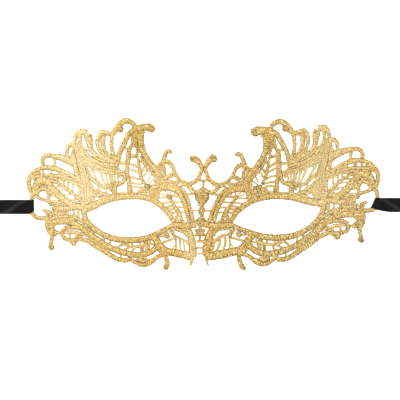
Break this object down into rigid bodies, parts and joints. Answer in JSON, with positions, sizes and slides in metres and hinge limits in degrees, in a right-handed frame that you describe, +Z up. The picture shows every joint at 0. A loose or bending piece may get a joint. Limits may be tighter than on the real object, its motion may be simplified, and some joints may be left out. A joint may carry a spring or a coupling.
{
  "type": "venetian lace eye mask",
  "caption": "Openwork lace eye mask with almond eye holes, scrolled plumes, a nose piece and side loops, each loop holding a satin ribbon that ties it on.",
  "frame": {"origin": "on the table under the middle of the mask, on the centre line of the face between the eye holes", "axes": "+X to the viewer's right across the face, +Y from the chin side to the brow, +Z up from the table out of the front of the mask"},
  "size_m": [0.3288, 0.1072, 0.0167],
  "materials": {
    "gold_lace": "stitched metallic gold thread",
    "black_satin": "satin"
  },
  "bodies": {
    "root": {"lace": "gold_lace", "ribbon_left": "black_satin", "ribbon_right": "black_satin"}
  },
  "joints": []
}
